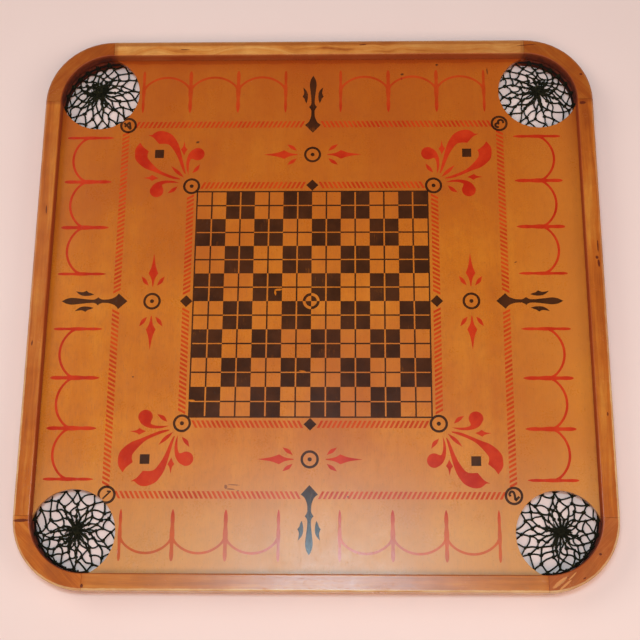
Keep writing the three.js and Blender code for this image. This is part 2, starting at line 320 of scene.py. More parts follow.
def rim_tints(sh, place, colour, on_corner, rough_edge):
    """What differs from side to side: smudged corners, a pale front, a dark and streaked back, and a worn
    pale outer edge made paler towards the front as painted light.
    """
    x, y, _ = sh.split(place)
    smudge = sh.math("MULTIPLY", sh.ease(sh.noise(place, 45.0, 4.0, 0.62), 0.42, 0.7),
                     sh.ease(on_corner, 0.0, 1.0, 0.2, 0.5))
    colour = sh.mix(smudge, colour, solid_colour(152, 78, 28))
    by_front_rail = sh.math("MULTIPLY", sh.ease(y, -0.3, -0.35), sh.ease(on_corner, 0.6, 0.0, 0.0, 0.15))
    colour = sh.mix(by_front_rail, colour, solid_colour(214, 160, 84))
    on_back_rail = sh.math("MULTIPLY", sh.ease(y, 0.3, 0.34), sh.ease(on_corner, 0.6, 0.0))
    streak = sh.ease(rough_edge, CORNER_RADIUS - 0.0075, CORNER_RADIUS - 0.004, 0.0, 0.6)
    aged = sh.math("MAXIMUM", streak, sh.ease(x, -0.02, 0.2, 0.0, 0.3))
    colour = sh.mix(sh.math("MULTIPLY", on_back_rail, aged), colour, solid_colour(140, 60, 16))
    # Wear and painted light: the pale outer edge is worn wood, made paler towards the front where the outer
    # face is lit.
    to_outside = sh.ease(rough_edge, CORNER_RADIUS - 0.0024, CORNER_RADIUS - 0.0012)
    by_front = sh.ease(y, 0.1, -0.2, 0.25, 0.8)
    patchy = sh.ease(sh.noise(place, 30.0, 3.0), 0.35, 0.65, 0.55, 1.0)
    worn = sh.math("MULTIPLY", sh.math("MULTIPLY", to_outside, by_front), patchy)
    colour = sh.mix(worn, colour, solid_colour(224, 180, 124))
    shade_back = sh.math("MULTIPLY", sh.ease(y, 0.0, 0.3), sh.ease(on_corner, 0.0, 0.3, 0.0, 0.45))
    return sh.mix(shade_back, colour, solid_colour(130, 48, 10))


def rim_walls(sh, place, colour, on_corner, reach):
    """The reddish inner walls, with grime and painted shade in the crease and in the corners, darker further
    down. Also gives where they are.
    """
    z = sh.split(place)[2]
    lip = sh.ease(reach, WALL_RADIUS + 0.0016, WALL_RADIUS + 0.0004, 0.0, 0.8)
    groove = sh.math("MULTIPLY", sh.ease(reach, WALL_RADIUS + 0.009, WALL_RADIUS + 0.007),
                     sh.ease(z, RIM_TOP - 0.0012, RIM_TOP - 0.0045))
    wall = sh.math("MAXIMUM", lip, groove)
    colour = sh.mix(sh.math("MULTIPLY", wall, 0.78), colour, solid_colour(162, 58, 8))
    # Grime and painted shade: the crease at the foot of the walls and the corner walls, darker further down,
    # take a darker colour.
    corner_grime_and_shade = sh.math("MULTIPLY", on_corner, sh.ease(z, RIM_TOP, RIM_TOP - 0.012, 0.55, 1.0))
    crease = sh.math("MAXIMUM", sh.ease(z, PANEL_TOP + 0.0016, PANEL_TOP, 0.0, 0.45), corner_grime_and_shade)
    patches = sh.ease(sh.noise(place, 130.0, 4.0, 0.65), 0.4, 0.62)
    grime_and_shade_colour = sh.mix(patches, solid_colour(62, 19, 8), solid_colour(108, 36, 14))
    colour = sh.mix(sh.math("MULTIPLY", sh.math("MULTIPLY", wall, crease), 0.92), colour, grime_and_shade_colour)
    return colour, wall


def rim_material(name, turn, offset, stops, figure):
    """The rim's varnished maple: worn pale along its edges, paler there towards the front as painted light,
    dark with grime and painted shade on its inner walls.
    """
    sh = Shader(name)
    place = sh.place()
    colour, height = wood(sh, place, turn, offset, stops, (5.5, 120.0), figure)
    reach = rim_reach(sh, place)
    rough_edge = sh.math("MULTIPLY_ADD", sh.noise(place, 140.0, 4.0), 0.0016, reach)
    x_part, y_part, _ = sh.split(sh.vector("ABSOLUTE", place))
    on_corner = sh.ease(sh.math("MINIMUM", x_part, y_part), JOINT - 0.008, JOINT + 0.008)
    colour = rim_tints(sh, place, colour, on_corner, rough_edge)
    colour, wall = rim_walls(sh, place, colour, on_corner, reach)
    dirt = any_spot(sh, place, RIM_MARKS)
    colour = sh.mix(sh.math("MULTIPLY", dirt, 0.9), colour, solid_colour(92, 28, 10))
    chips = any_spot(sh, place, RIM_CHIPS)
    colour = sh.mix(sh.math("MULTIPLY", chips, 0.55), colour, solid_colour(232, 158, 88))
    dents = sh.math("MULTIPLY", sh.ease(sh.noise(place, 75.0, 2.0), 0.66, 0.8), -0.00015)
    varnish = varnish_roughness(sh, place, *RIM_ROUGHNESS)
    roughness = sh.math("MAXIMUM", varnish, sh.math("MULTIPLY", wall, 0.85))
    return sh.finish(colour, roughness, sh.math("ADD", height, dents), Specular_IOR_Level=0.32)


def metal_material(name, dark, rust, roughness):
    sh = Shader(name)
    place = sh.place()
    patch = sh.ease(sh.noise(place, 700.0, 4.0, 0.65), 0.42, 0.62)
    colour = sh.mix(patch, (*dark, 1.0), (*rust, 1.0))
    height = sh.math("MULTIPLY", patch, 0.00003)
    return sh.finish(colour, sh.ease(patch, 0.0, 1.0, roughness, 0.8), height, Metallic=0.8)


def string_material():
    """Twisted cotton string, near black with worn olive fuzz. The twist follows the string's own length."""
    sh = Shader("net_string")
    place = sh.place()
    around, along, _ = sh.split(sh.node("UVMap", uv_map="string").outputs[0])
    turns = sh.math("MULTIPLY_ADD", along, 2400.0, sh.math("MULTIPLY", around, 4 * math.pi))
    twist = sh.math("SINE", turns)
    fuzz = sh.noise(place, 1300.0, 3.0, 0.7)
    worn = sh.ease(sh.noise(place, 120.0, 3.0), 0.45, 0.75)
    light = sh.math("MULTIPLY", sh.ease(sh.math("MULTIPLY_ADD", twist, 0.12, fuzz), 0.5, 0.78), worn)
    colour = sh.mix(sh.math("MULTIPLY", light, 0.8), solid_colour(27, 25, 13), solid_colour(112, 98, 52))
    height = sh.math("MULTIPLY_ADD", twist, 0.00009, sh.math("MULTIPLY", fuzz, 0.0001))
    return sh.finish(colour, 0.92, height, Specular_IOR_Level=0.15)


def bare_wood_material():
    sh = Shader("spline_wood")
    place = sh.place()
    stops = ((0.2, rgb(150, 110, 66)), (0.5, rgb(178, 138, 88)), (0.8, rgb(200, 162, 112)))
    colour, height = wood(sh, place, 0.0, (0.0, 0.0, 0.0), stops)
    return sh.finish(colour, 0.75, height)


# ======== Shapes in the plane, in millimetres ========
def arc(centre, radius, start, end, steps):
    angles = [math.radians(start + (end - start) * i / steps) for i in range(steps + 1)]
    return [(centre[0] + radius * math.cos(a), centre[1] + radius * math.sin(a)) for a in angles]


def smooth(points, steps=5):
    """A curve through the points, with that many pieces between each two."""
    p = [Vector(q) for q in points]
    p = [2 * p[0] - p[1], *p, 2 * p[-1] - p[-2]]
    curve = []
    for a, b, c, d in zip(p, p[1:], p[2:], p[3:]):
        for i in range(steps):
            t = i / steps
            curve.append(0.5 * (2 * b + (c - a) * t + (2 * a - 5 * b + 4 * c - d) * t**2
                                + (3 * b - a - 3 * c + d) * t**3))
    return [tuple(q) for q in [*curve, p[-2]]]


def chain(*edges):
    """One outline from edges that each start where the last one ends."""
    return [point for edge in edges for point in edge[:-1]]


def turned(points, quarter, flip=False):
    """The points mirrored across the X axis if asked, then turned by quarters of a circle."""
    made = []
    for x, y in points:
        y = -y if flip else y
        for _ in range(quarter % 4):
            x, y = -y, x
        made.append((x, y))
    return made


def all_round(points):
    """The eight copies of a shape: on each side of the board, and on each side of that side's middle."""
    return [turned(points, quarter, flip) for quarter in range(4) for flip in (False, True)]


def moved(points, centre, degrees=0.0):
    c, s = math.cos(math.radians(degrees)), math.sin(math.radians(degrees))
    return [(centre[0] + c * x - s * y, centre[1] + s * x + c * y) for x, y in points]


def rectangle(left, bottom, right, top):
    return [(left, bottom), (right, bottom), (right, top), (left, top)]


class Ink:
    """Printed shapes of one colour, each a thin closed slab bedded in the panel's face."""

    def __init__(self):
        self.mesh = bmesh.new()

    def vertex(self, point, z):
        place = Vector(point) + Vector(PRINT_SHIFT)
        for sx, sy in CORNERS.values():
            centre = Vector((sx, sy)) * (POCKET_PLACE / MM)
            out = place - centre
            edge = POCKET_RADIUS / MM + 0.1
            if out.length < edge:
                place = centre + out.normalized() * edge
        return self.mesh.verts.new((place.x * MM, place.y * MM, z))

    def rows(self, points, layer=0):
        top = PANEL_TOP + INK_HEIGHT * (1 + 0.3 * layer)
        above = [self.vertex(p, top) for p in points]
        below = [self.vertex(p, PANEL_TOP - INK_HEIGHT) for p in points]
        return above, below

    def fill(self, points, layer=0):
        """A filled shape. Shapes that cross each other are on different layers, so that none share a face."""
        area = sum(a[0] * b[1] - b[0] * a[1] for a, b in zip(points, [*points[1:], points[0]]))
        above, below = self.rows(points if area > 0 else points[::-1], layer)
        self.mesh.faces.new(above)
        self.mesh.faces.new(below[::-1])
        for i in range(len(above)):
            self.mesh.faces.new((above[i - 1], below[i - 1], below[i], above[i]))

    def ring(self, centre, outer, inner, steps=40):
        """A ring, closed on itself."""
        rim_above, rim_below = self.rows(arc(centre, outer, 0, 360, steps)[:-1])
        hole_above, hole_below = self.rows(arc(centre, inner, 0, 360, steps)[:-1])
        for i in range(steps):
            self.mesh.faces.new((rim_above[i - 1], rim_above[i], hole_above[i], hole_above[i - 1]))
            self.mesh.faces.new((rim_below[i], rim_below[i - 1], hole_below[i - 1], hole_below[i]))
            self.mesh.faces.new((rim_above[i], rim_above[i - 1], rim_below[i - 1], rim_below[i]))
            self.mesh.faces.new((hole_above[i - 1], hole_above[i], hole_below[i], hole_below[i - 1]))

    def disc(self, centre, radius, steps=20):
        self.fill(arc(centre, radius, 0, 360, steps)[:-1])

    def stroke(self, points, half_widths, layer=0):
        """A line drawn along the points, as wide as the half widths say at each of them."""
        if not isinstance(half_widths, (list, tuple)):
            half_widths = [half_widths] * len(points)
        p = [Vector(q) for q in points]
        left, right = [], []
        for i, half in enumerate(half_widths):
            ahead = p[min(i + 1, len(p) - 1)] - p[max(i - 1, 0)]
            side = Vector((-ahead.y, ahead.x)).normalized() * half
            left.append(tuple(p[i] + side))
            right.append(tuple(p[i] - side))
        self.fill([*left, *right[::-1]], layer)

    def piece(self, name, material, slot):
        data = bpy.data.meshes.new(name)
        self.mesh.normal_update()
        self.mesh.to_mesh(data)
        made = bpy.data.objects.new(name, data)
        bpy.context.scene.collection.objects.link(made)
        data.materials.append(material)
        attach(made, "root")
        return made


# ---- The printed game, in millimetres from the print's own centre ----
SQUARE = 37.5
BOARD_SIZE = 8 * SQUARE
BARE_LINE = {"across": 1.9, "along": 1.5}
LINE_HALF = 1.0
BORDER = 1.9
CENTRE_RING = {"outer": 10.8, "inner": 7.2}
INNER_BAND = 160.0
OUTER_BAND = 247.8
BAND_WIDTH = 9.2
# Each striped band's distance from the middle, and where its stripes start and end on each side.
BANDS = ((INNER_BAND, 12.5, 147.0), (OUTER_BAND, 14.5, 235.5))
LEFT_BORDER_SHIFT = (-1.8, 0.0)  # how far the left outer border was printed off its place
STRIPE = {"apart": 5.95, "thick": 3.2, "drop": 5.0}
RING = {"outer": 11.3, "inner": 8.2, "dot": 2.6}
MIDDLE_RING_PLACE = 203.8
CORNER_RING_PLACE = 159.0
DIAMOND_REACH = 8.0
FLEUR_SQUARE = {"place": (203.6, 205.5), "half": 6.0}


def checkerboard(ink):
    half = BOARD_SIZE / 2
    for column in range(8):
        for row in range(8):
            x = column * SQUARE - half
            y = half - row * SQUARE
            middle = (x + SQUARE / 2, y - SQUARE / 2)
            if (column + row) % 2:
                dark_square(ink, x, y, middle)
            else:
                left, bottom = middle[0] - LINE_HALF, middle[1] - LINE_HALF
                right, top = middle[0] + LINE_HALF, middle[1] + LINE_HALF
                ink.fill(rectangle(x, bottom, left, top))
                ink.fill(rectangle(right, bottom, x + SQUARE, top))
                ink.fill(rectangle(left, y - SQUARE, right, y))
    for quarter in range(4):
        ink.fill(turned(rectangle(half, -half - BORDER, half + BORDER, half), quarter))
    for start in (90, 270):
        ink.fill([*arc((0, 0), CENTRE_RING["outer"], start, start + 90, 10),
                  *arc((0, 0), CENTRE_RING["inner"], start + 90, start, 10)])


def dark_square(ink, x, y, middle):
    """Four dark quarters with bare lines between them. The ring at the board's centre stays bare."""
    gap_x, gap_y = BARE_LINE["across"] / 2, BARE_LINE["along"] / 2
    spans_x = ((x, middle[0] - gap_x), (middle[0] + gap_x, x + SQUARE))
    spans_y = ((y - SQUARE, middle[1] - gap_y), (middle[1] + gap_y, y))
    for left, right in spans_x:
        for bottom, top in spans_y:
            at_centre = 0.0 in (left, right) and 0.0 in (bottom, top)
            if not at_centre:
                ink.fill(rectangle(left, bottom, right, top))
                continue
            far_x, far_y = left + right, bottom + top
            start = 0 if far_x > 0 else 180
            edge = arc((0, 0), CENTRE_RING["outer"], start + 90, start, 10)
            outside = [(far_x, 0.0), (far_x, far_y), (0.0, far_y), *edge]
            ink.fill(outside)
            ink.fill([(0.0, 0.0), *arc((0, 0), CENTRE_RING["inner"], start, start + 90, 8)])


def target(ink, centre):
    ink.ring(centre, RING["outer"], RING["inner"])
    ink.disc(centre, RING["dot"])


def diamond(ink, centre, reach):
    ink.fill([(centre[0] + dx * reach, centre[1] + dy * reach)
              for dx, dy in ((1, 0), (0, 1), (-1, 0), (0, -1))])


# Each numeral's strokes. A later one lies over an earlier one.
NUMERALS = {
    1: [[(0.4, -6.8), (0.4, 6.8)], [(0.6, 6.4), (-2.6, 3.0)]],
    2: [[*smooth([(-3.4, 2.4), (-2.2, 5.4), (1.2, 6.0), (2.9, 3.4), (0.8, -0.8), (-3.0, -5.2)]),
         (4.0, -5.2)]],
    3: [smooth([(-3.4, 4.2), (-0.6, 6.2), (2.6, 4.8), (2.0, 1.6), (-0.6, 0.5)]),
        smooth([(0.8, 0.6), (3.2, -1.4), (2.5, -4.8), (-0.8, -6.1), (-3.6, -4.0)])],
    4: [[(1.5, -7.0), (1.5, 6.4)], [(1.5, 6.0), (-4.2, -2.2)], [(-4.6, -2.2), (4.8, -2.2)]],
}
NUMERAL_STROKES = {1: 1.05, 2: 1.45, 3: 1.5, 4: 1.45}  # half their widths
# Each numeral's ring, and how far the numeral is turned for its top to face the board's centre.
NUMBERED_RINGS = ((1, (-247.9, -247.9), -45), (2, (247.9, -247.9), 45), (3, (247.9, 247.9), 135),
                  (4, (-247.2, 247.2), -135))


def numbered_rings(ink):
    for numeral, centre, degrees in NUMBERED_RINGS:
        ink.ring(centre, RING["outer"], RING["inner"])
        for layer, line in enumerate(NUMERALS[numeral]):
            ink.stroke(moved(line, centre, degrees), NUMERAL_STROKES[numeral], layer)


def spear(ink):
    """The black ornament that points out from the middle of each side."""
    edge = chain(
        [(235.4, 0.0), (247.0, 10.5)],
        smooth([(247.0, 10.5), (250.2, 6.6), (253.8, 4.4), (260.0, 2.5), (267.5, 2.2)]),
        smooth([(267.5, 2.2), (270.6, 3.4), (273.3, 5.4)]),
        smooth([(273.3, 5.4), (276.0, 3.2), (280.0, 2.2), (287.5, 2.6), (296.3, 3.6), (306.3, 4.6),
                (313.8, 3.3), (320.0, 0.0)]),
    )
    leaf = chain(
        smooth([(278.5, 8.8), (282.0, 10.6), (285.6, 11.6)]),
        [(285.6, 11.6), (288.8, 14.2)],
        smooth([(288.8, 14.2), (293.8, 12.2), (302.5, 13.4)]),
        smooth([(302.5, 13.4), (298.0, 9.4), (292.5, 7.2), (285.0, 7.3), (278.5, 8.8)]),
    )
    for quarter in range(4):
        mirrored = [(x, -y) for x, y in edge[:0:-1]]
        ink.fill(turned([*edge, (320.0, 0.0), *mirrored], quarter))
        for flip in (False, True):
            ink.fill(turned(leaf, quarter, flip))


def stripes(ink):
    """The slanted red borders, each broken at the middle of its side by an ornament."""
    slant = STRIPE["drop"] / 2
    thick = STRIPE["thick"] / 2
    for band, start, end in BANDS:
        left, right = band - BAND_WIDTH / 2, band + BAND_WIDTH / 2
        for i in range(int((end - start) / STRIPE["apart"]) + 1):
            y = start + i * STRIPE["apart"]
            bar = [(left, y + slant - thick), (right, y - slant - thick),
                   (right, y - slant + thick), (left, y + slant + thick)]
            for copy in all_round(bar):
                on_left = copy[0][0] < -OUTER_BAND + BAND_WIDTH
                ink.fill(moved(copy, LEFT_BORDER_SHIFT) if on_left else copy)


ARCH_BARS = (37.0, 101.0, 165.5, 229.0)
ARCH = {"start": 265.4, "end": 327.6, "spring": 300.0, "apex": 318.0}
ARCH_STEPS = 18
END_BAR = 0.78  # how wide the bar at each end of an arcade is beside the others
# How far along each bar, and half its width there.
SPINDLE = (
    (0.0, 0.4), (0.08, 1.9), (0.2, 2.5), (0.31, 2.1), (0.46, 3.0), (0.6, 2.8), (0.71, 2.1), (0.87, 2.5),
    (0.96, 1.8), (1.0, 0.7),
)


def arches(ink):
    """The red arcade along each side: spindle-shaped bars with round arches between them."""
    length = ARCH["end"] - ARCH["start"]
    for i, y in enumerate(ARCH_BARS):
        wide = 1.0 if 0 < i < len(ARCH_BARS) - 1 else END_BAR
        edge = smooth([(ARCH["start"] + length * t, half * wide) for t, half in SPINDLE], 3)
        bar = [*[(x, y + h) for x, h in edge], *[(x, y - h) for x, h in reversed(edge)]]
        for copy in all_round(bar):
            ink.fill(copy, 1)
    for low, high in zip(ARCH_BARS, ARCH_BARS[1:]):
        chord, rise = (high - low) / 2, ARCH["apex"] - ARCH["spring"]
        radius = (chord**2 + rise**2) / (2 * rise)
        reach = math.degrees(math.asin(chord / radius)) - 1.5
        line = arc((ARCH["apex"] - radius, (low + high) / 2), radius, -reach, reach, ARCH_STEPS)
        from_apex = [i / (ARCH_STEPS / 2) - 1 for i in range(ARCH_STEPS + 1)]
        widths = [1.55 - 0.35 * t**2 + 1.2 * t**10 for t in from_apex]
        for quarter in range(4):
            for flip in (False, True):
                ink.stroke(turned(line, quarter, flip), widths)


def darts(ink):
    """The red darts that fly both ways from the ring in the middle of each side."""
    half = [*smooth([(0.0, 64.8), (2.0, 51.0), (3.6, 44.4), (6.2, 37.6)])[:-1],
            *smooth([(6.2, 37.6), (2.9, 31.6), (1.5, 26.4), (0.5, 19.6)])]
    dart = [*half, *[(-x, y) for x, y in half[:0:-1]]]
    leaf = chain(smooth([(14.9, 33.6), (8.6, 28.8), (5.3, 20.8)]),
                 smooth([(5.3, 20.8), (12.0, 25.2), (14.9, 33.6)]))
    for shape in (dart, leaf, [(-x, y) for x, y in leaf]):
        for copy in all_round([(MIDDLE_RING_PLACE + x, y) for x, y in shape]):
            ink.fill(copy)


FLEUR_SHIFT = {"front_left": (0.3, 1.6)}  # how far one corner's flourish was printed off its place


def fleur_shapes():
    """The flourish in the back right corner, as outlines."""
    upper = chain(
        smooth([(167.3, 176.3), (171.9, 195.0), (178.0, 217.5), (185.0, 230.0), (191.3, 235.6),
                (200.0, 238.8), (206.9, 238.5), (211.3, 236.3)]),
        smooth([(211.3, 236.3), (215.0, 233.2), (220.0, 233.0)]),
        smooth([(220.0, 233.0), (212.5, 228.8), (205.0, 220.0)]),
        smooth([(205.0, 220.0), (195.0, 220.0), (188.8, 216.3), (180.0, 202.5), (172.5, 183.8),
                (168.8, 176.9)]),
        [(168.8, 176.9), (167.3, 176.3)],
    )
    right = chain(
        smooth([(174.4, 168.5), (187.5, 170.6), (210.0, 180.0), (220.0, 183.8), (228.8, 190.0),
                (235.0, 197.5), (236.5, 206.3), (235.6, 213.8), (230.0, 221.9)]),
        smooth([(230.0, 221.9), (225.6, 215.6), (218.1, 209.4)]),
        smooth([(218.1, 209.4), (219.4, 203.8), (217.5, 197.5), (205.0, 183.8), (191.3, 176.3),
                (175.0, 170.0)]),
        [(175.0, 170.0), (174.4, 168.5)],
    )
    comma = chain(
        smooth([(175.0, 163.6), (184.0, 166.6), (194.0, 167.2), (203.0, 165.4), (209.6, 161.4),
                (213.7, 155.0)]),
        arc((205.0, 152.5), 9.0, 16, -214, 24),
        smooth([(197.6, 157.5), (197.8, 161.2), (192.0, 163.4), (183.0, 163.9), (175.0, 163.6)]),
    )
    leaf = chain(smooth([(177.5, 158.8), (184.6, 155.8), (190.5, 149.0)]),
                 smooth([(190.5, 149.0), (182.0, 151.4), (177.5, 158.8)]))
    dash = chain(smooth([(169.6, 171.2), (176.6, 180.8), (187.4, 188.0)]),
                 smooth([(187.4, 188.0), (180.4, 177.8), (169.6, 171.2)]))
    kite = chain(smooth([(203.4, 170.6), (208.0, 173.0), (212.0, 175.2)]),
                 smooth([(212.0, 175.2), (215.8, 172.6), (223.6, 170.8)]),
                 smooth([(223.6, 170.8), (215.8, 169.4), (211.6, 166.6)]),
                 smooth([(211.6, 166.6), (208.0, 168.8), (203.4, 170.6)]))
    both_sides = [comma, leaf, kite]
    return [upper, right, dash, *both_sides, *[[(y, x) for x, y in shape] for shape in both_sides]]


def fleurs(ink):
    for shape in fleur_shapes():
        for corner, (sx, sy) in CORNERS.items():
            ink.fill(moved([(sx * x, sy * y) for x, y in shape], FLEUR_SHIFT.get(corner, (0.0, 0.0))))


def print_game():
    black, red, pale_red = Ink(), Ink(), Ink()
    checkerboard(black)
    numbered_rings(black)
    spear(black)
    for corner, (sx, sy) in CORNERS.items():
        target(black, (sx * CORNER_RING_PLACE, sy * CORNER_RING_PLACE))
        x, y = FLEUR_SQUARE["place"]
        half = FLEUR_SQUARE["half"]
        square = moved(rectangle(-half, -half, half, half), (sx * x, sy * y))
        black.fill(moved(square, FLEUR_SHIFT.get(corner, (0.0, 0.0))))
    for quarter in range(4):
        target(black, turned([(MIDDLE_RING_PLACE, 0.0)], quarter)[0])
        diamond(black, turned([(INNER_BAND, 0.0)], quarter)[0], DIAMOND_REACH)
    stripes(pale_red)
    arches(red)
    darts(red)
    fleurs(red)
    black.piece("print_black", ink_material("ink_black", *BLACK_INK), "ink_black")
    strong = ink_material("ink_red", *RED_INK, faded_by_rails=0.34)
    red.piece("print_red", strong, "ink_red")
    pale = ink_material("ink_red_faded", *PALE_RED_INK, faded=0.12)
    pale_red.piece("print_striped_borders", pale, "ink_red")


# ======== Nets ========
NET_ROUND = 18  # meshes round the mouth
NET_ROWS = (1.0, 0.86, 0.725, 0.585, 0.45, 0.315, 0.06)  # rows of knots, from the hoop to the gathered middle
NET_HEIGHTS = (0.0, 0.0068, 0.0036, 0.0026, 0.0024, 0.0026, 0.004)
STRING_POINTS = 7
LOOSE = {"turn": 0.13, "place": 0.0014, "slack": 0.1, "slack_spread": 0.07, "bow": 0.22}
BUNCH = {"pull": 0.6, "reach": 0.016}
SETTLE = {"rounds": 420, "drop": 0.00006, "smoothing": 0.12, "passes": 6, "push": 1.3}
GATHER = {"height": 0.0034, "radius": 0.0030, "turns": 4, "tails": 38, "tail_reach": (0.004, 0.0145)}
# Where each net's gathered middle lies, where its strings are bunched if they are, in millimetres from
# the board's centre, and the seed of its random draws.
NET_KNOTS = {
    "front_right": ((298, -288.5), (325, -326), 11),
    "back_right": ((297, 306), None, 23),
    "back_left": ((-299, 306.5), None, 37),
    "front_left": ((-293, -289), (-335, -300), 41),
}


class Strings:
    """Round strings and knots gathered into one mesh, with the string's own length in a UV map."""

    def __init__(self, sides=7):
        self.sides = sides
        self.points, self.faces, self.uvs = [], [], []

    def tube(self, path, radius=STRING_RADIUS, taper=False):
        path = np.asarray(path, float)
        ahead = np.gradient(path, axis=0)
        ahead /= np.linalg.norm(ahead, axis=1)[:, None] + 1e-12
        side = np.cross(ahead[0], (0.0, 0.0, 1.0) if abs(ahead[0][2]) < 0.9 else (1.0, 0.0, 0.0))
        run = np.concatenate([[0.0], np.cumsum(np.linalg.norm(np.diff(path, axis=0), axis=1))])
        base, n = len(self.points), self.sides
        for i, centre in enumerate(path):
            side = side - ahead[i] * (side @ ahead[i])
            side /= np.linalg.norm(side)
            up = np.cross(ahead[i], side)
            thick = radius * (1.0 - 0.6 * i / len(path)) if taper else radius
            for k in range(n):
                a = 2 * math.pi * k / n
                self.points.append(centre + thick * (math.cos(a) * side + math.sin(a) * up))
        for i in range(len(path) - 1):
            for k in range(n):
                j = (k + 1) % n
                a, b = base + i * n, base + (i + 1) * n
                self.faces.append((a + k, a + j, b + j, b + k))
                self.uvs.append(((k / n, run[i]), ((k + 1) / n, run[i]),
                                 ((k + 1) / n, run[i + 1]), (k / n, run[i + 1])))
        last = base + (len(path) - 1) * n
        self.cap([base + k for k in reversed(range(n))], run[0])
        self.cap([last + k for k in range(n)], run[-1])

    def cap(self, ring, along):
        self.faces.append(tuple(ring))
        self.uvs.append(tuple((0.5, along) for _ in ring))

    def knot(self, centre, radius, rng):
        """A small lumpy ball."""
        ball = bmesh.new()
        bmesh.ops.create_icosphere(ball, subdivisions=2, radius=1.0)
        lumps = rng.uniform(0.0, 2 * math.pi, 3)
        base = len(self.points)
        squash = rng.uniform(0.85, 1.2, 3) * (1.0, 1.0, 0.85)
        for v in ball.verts:
            x, y, z = v.co
            bulge = 1.0 + 0.16 * math.sin(4 * x + lumps[0]) * math.sin(4 * y + lumps[1]) \
                + 0.1 * math.sin(7 * z + 5 * x + lumps[2])
            self.points.append(np.array(centre) + radius * bulge * squash * np.array(v.co))
        for f in ball.faces:
            self.faces.append(tuple(base + v.index for v in f.verts))
            self.uvs.append(tuple((math.atan2(v.co.y, v.co.x) / (2 * math.pi), radius * v.co.z)
                                  for v in f.verts))
        ball.free()

    def piece(self, name, material):
        data = bpy.data.meshes.new(name)
        above_floor = [(x, y, max(z, FLOOR_GAP)) for x, y, z in self.points]
        data.from_pydata(above_floor, [], self.faces)
        layer = data.uv_layers.new(name="string")
        layer.data.foreach_set("uv", [c for face in self.uvs for uv in face for c in uv])
        data.polygons.foreach_set("use_smooth", [True] * len(data.polygons))
        data.materials.append(material)
        made = bpy.data.objects.new(name, data)
        bpy.context.scene.collection.objects.link(made)
        return made


def hoop_outline(corner, centre):
    """The hoop's middle line as a function: a direction from the pocket's centre gives a point."""
    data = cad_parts["net_hoop_" + corner].data
    points = np.array([v.co for v in data.vertices], float)
    flat = points[:, :2] - centre
    angles = np.arctan2(flat[:, 1], flat[:, 0])
    reaches = np.linalg.norm(flat, axis=1)
    height = points[:, 2].mean()

    def at(angle):
        apart = np.angle(np.exp(1j * (angles - angle)))
        weight = np.exp(-((apart / 0.09) ** 2))
        reach = (weight * reaches).sum() / weight.sum()
        return np.array([centre[0] + reach * math.cos(angle), centre[1] + reach * math.sin(angle), height])

    return at


def relax(points, links, lengths, pinned, floor):
    """Lets strings of set lengths settle: they drop on the floor and keep their curves smooth."""
    fixed = points[pinned].copy()
    first, second = links[:, 0], links[:, 1]
    count = np.bincount(links.ravel(), minlength=len(points))[:, None].clip(1)
    free = np.ones(len(points))
    free[pinned] = 0.0
    for _ in range(SETTLE["rounds"]):
        points[:, 2] -= SETTLE["drop"] * free
        total = np.zeros_like(points)
        np.add.at(total, first, points[second])
        np.add.at(total, second, points[first])
        points += SETTLE["smoothing"] * (total / count - points) * free[:, None]
        for _ in range(SETTLE["passes"]):
            gap = points[second] - points[first]
            now = np.linalg.norm(gap, axis=1)[:, None] + 1e-12
            push = 0.5 * gap * (1.0 - lengths[:, None] / now)
            total[:] = 0.0
            np.add.at(total, first, push)
            np.add.at(total, second, -push)
            points += SETTLE["push"] * total / count
            points[pinned] = fixed
            np.maximum(points[:, 2], floor, out=points[:, 2])
    return points


def net_rows(mouth, middle, bunch, rng):
    """The net's knots before they settle, as points and as rows of their numbers."""
    points, rows = [], []
    for row, (share, height) in enumerate(zip(NET_ROWS, NET_HEIGHTS)):
        indices = []
        for i in range(NET_ROUND):
            loose = 0.0 if row == 0 else LOOSE["turn"]
            angle = (i + 0.5 * (row % 2) + rng.normal(0.0, loose)) * 2 * math.pi / NET_ROUND
            edge = mouth(angle)
            here = middle + (edge[:2] - middle) * share
            if 0 < row < len(NET_ROWS) - 1:
                here = here + rng.normal(0.0, LOOSE["place"], 2)
            if bunch is not None and 0 < row < 4:
                pull = np.array(bunch) * MM - here
                near = math.exp(-((np.linalg.norm(pull) / BUNCH["reach"]) ** 2))
                here = here + pull * BUNCH["pull"] * near
            indices.append(len(points))
            points.append(np.array([*here, edge[2] if row == 0 else height]))
        rows.append(indices)
    return points, rows


def net_strings(points, rows, rng):
    """The strings between the knots, as rows of point numbers, with their links and the links' lengths."""
    strings, links, lengths = [], [], []
    for row in range(len(rows) - 1):
        for i in range(NET_ROUND):
            step = 1 if row % 2 else -1
            for j in (i, (i + step) % NET_ROUND):
                a, b = rows[row][i], rows[row + 1][j]
                start, end = points[a], points[b]
                loose = abs(rng.normal(LOOSE["slack"], LOOSE["slack_spread"]))
                slack = 1.0 + loose * (0.5 if row == len(rows) - 2 else 1.0)
                across = np.cross(end - start, (0.0, 0.0, 1.0))
                bow = rng.normal(0.0, LOOSE["bow"])
                path = [a]
                for k in range(1, STRING_POINTS):
                    t = k / STRING_POINTS
                    path.append(len(points))
                    points.append(start + (end - start) * t + across * bow * math.sin(math.pi * t))
                path.append(b)
                strings.append(path)
                links += list(zip(path, path[1:]))
                lengths += [np.linalg.norm(end - start) * slack / STRING_POINTS] * STRING_POINTS
    return strings, links, lengths


